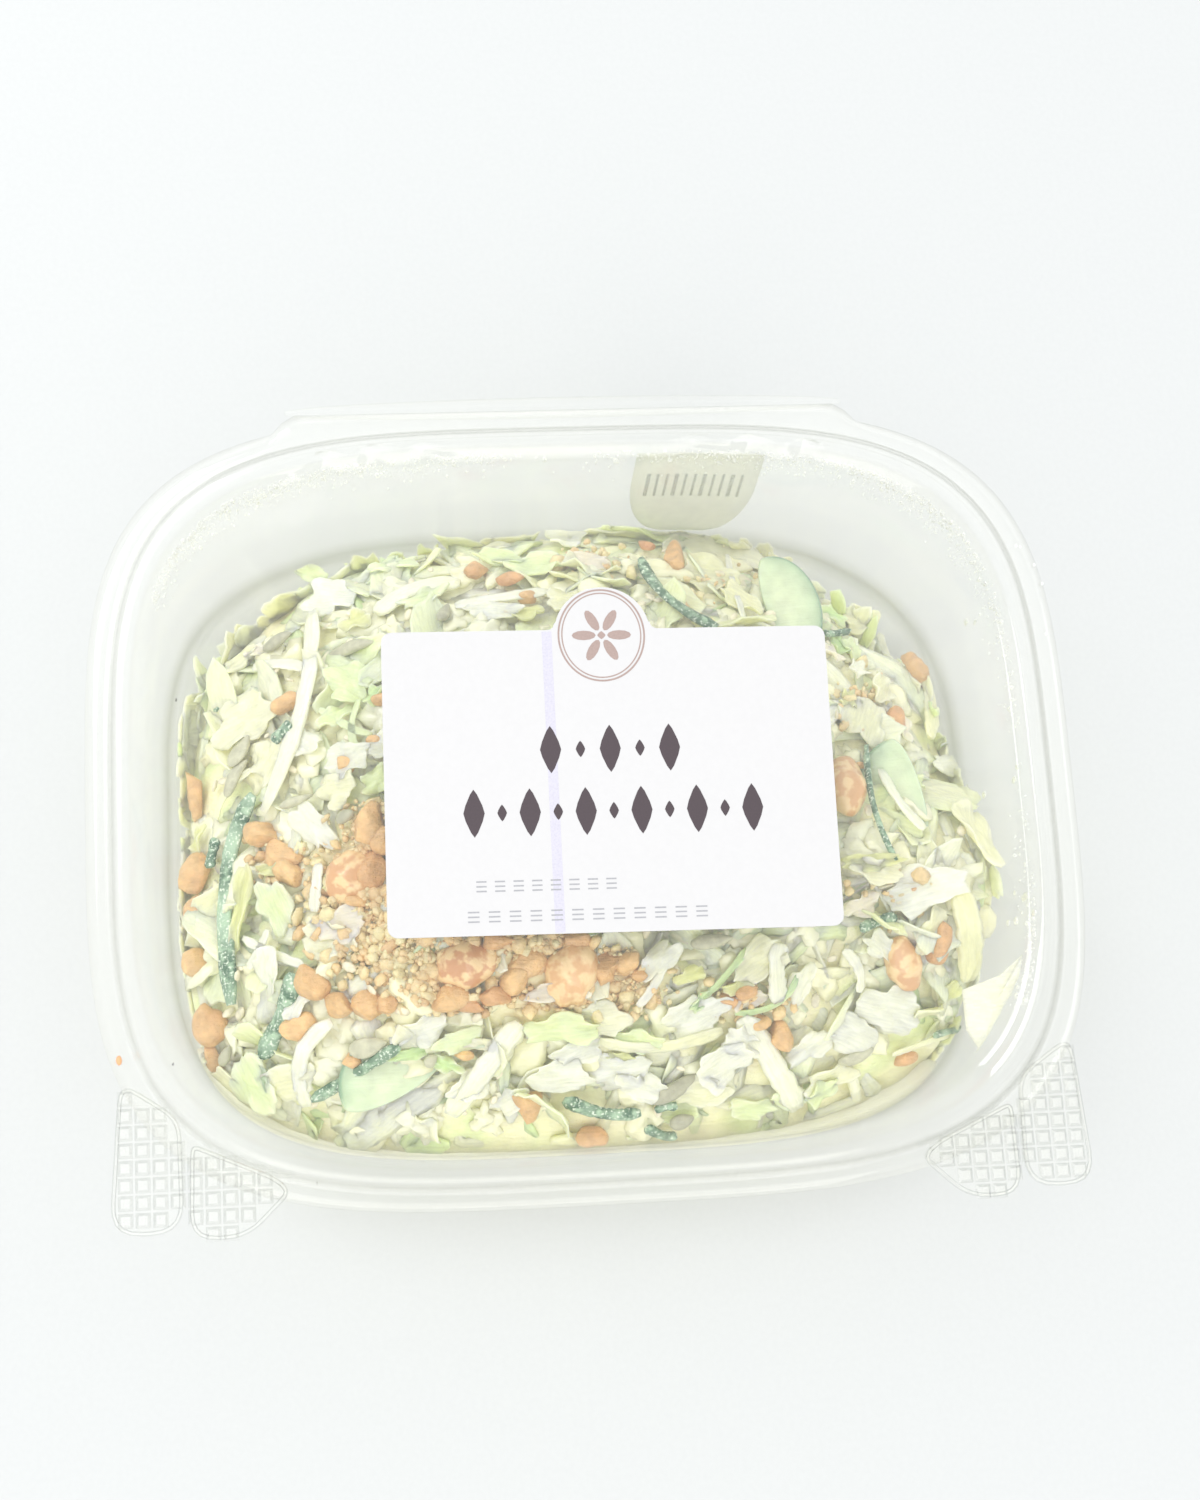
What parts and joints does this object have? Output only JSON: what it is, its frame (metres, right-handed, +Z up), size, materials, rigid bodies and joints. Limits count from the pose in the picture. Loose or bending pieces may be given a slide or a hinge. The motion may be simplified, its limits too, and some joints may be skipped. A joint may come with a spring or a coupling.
{
  "type": "boxed coleslaw salad",
  "caption": "Green coleslaw with cucumber, seeds and candied nuts, heaped in a clear shallow tub with a folding lid on a back hinge, front pull tabs and a paper label.",
  "frame": {"origin": "on the ground under the middle of the closed box, hinge roll and pull tabs included", "axes": "+X to the right along the hinge, +Y from the pull tabs to the hinge, +Z up"},
  "size_m": [0.1868, 0.1588, 0.056],
  "materials": {
    "clear_plastic": "clear thermoformed sheet, high gloss",
    "label_paper": "smooth coated paper, satin",
    "sticker_film": "thin pale film, satin",
    "salad": "moist shredded cabbage in pale dressing",
    "nut": "sugar-coated, semi-gloss",
    "cucumber": "wet flesh with dark green skin"
  },
  "bodies": {
    "tub": {"tub": "clear_plastic", "back_sticker": "sticker_film", "coleslaw": "salad", "nut_1": "nut", "nut_2": "nut", "nut_3": "nut", "nut_4": "nut", "nut_5": "nut", "cucumber_1": "cucumber", "cucumber_2": "cucumber", "cucumber_3": "cucumber"},
    "lid": {"lid": "clear_plastic", "label": "label_paper"}
  },
  "joints": [
    {"name": "lid_hinge", "type": "hinge", "parent": "tub", "child": "lid", "pos_m": [0, 0.07725, 0.05215], "axis": [-1, 0, 0], "range_deg": [0, 180]}
  ]
}
